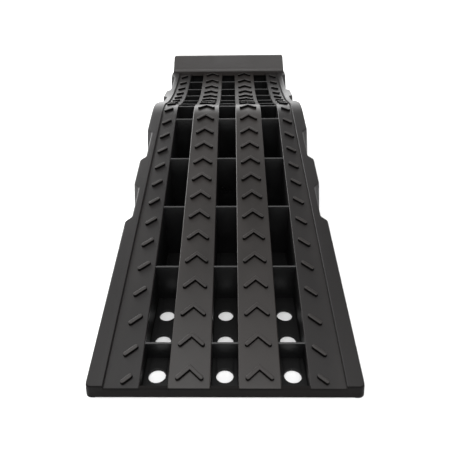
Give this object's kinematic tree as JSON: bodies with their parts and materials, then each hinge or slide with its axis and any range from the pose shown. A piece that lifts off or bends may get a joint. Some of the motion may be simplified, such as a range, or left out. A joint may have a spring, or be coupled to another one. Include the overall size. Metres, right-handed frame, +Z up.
{
  "type": "ramp leveler",
  "caption": "Drive-on levelling ramp with a straight grip-barred slope, a rounded crest, a shallow wheel cradle and an upturned end stop.",
  "frame": {"origin": "on the ground under the middle of the ramp's footprint", "axes": "+X across the ramp, +Y from the toe up to the end stop, +Z up"},
  "size_m": [0.2, 0.575, 0.1141],
  "materials": {
    "moulding": "satin moulded polypropylene, charcoal black, fine spark texture"
  },
  "bodies": {
    "root": {"centre_channel_floor": "moulding", "cross_rib_01": "moulding", "cross_rib_02": "moulding", "cross_rib_03": "moulding", "cross_rib_04": "moulding", "cross_rib_05": "moulding", "cross_rib_06": "moulding", "cross_rib_07": "moulding", "cross_rib_08": "moulding", "cross_rib_09": "moulding", "cross_rib_10": "moulding", "cross_rib_11": "moulding", "end_stop": "moulding", "front_lip": "moulding", "left_centre_chevrons": "moulding", "left_centre_tread": "moulding", "left_channel_floor": "moulding", "left_inner_web": "moulding", "left_middle_web": "moulding", "left_outer_slashes": "moulding", "left_outer_tread": "moulding", "left_outer_web": "moulding", "left_side_rail": "moulding", "left_side_wall": "moulding", "rear_wall": "moulding", "right_centre_chevrons": "moulding", "right_centre_tread": "moulding", "right_channel_floor": "moulding", "right_inner_web": "moulding", "right_middle_web": "moulding", "right_outer_slashes": "moulding", "right_outer_tread": "moulding", "right_outer_web": "moulding", "right_side_rail": "moulding", "right_side_wall": "moulding", "stop_gussets": "moulding"}
  },
  "joints": []
}
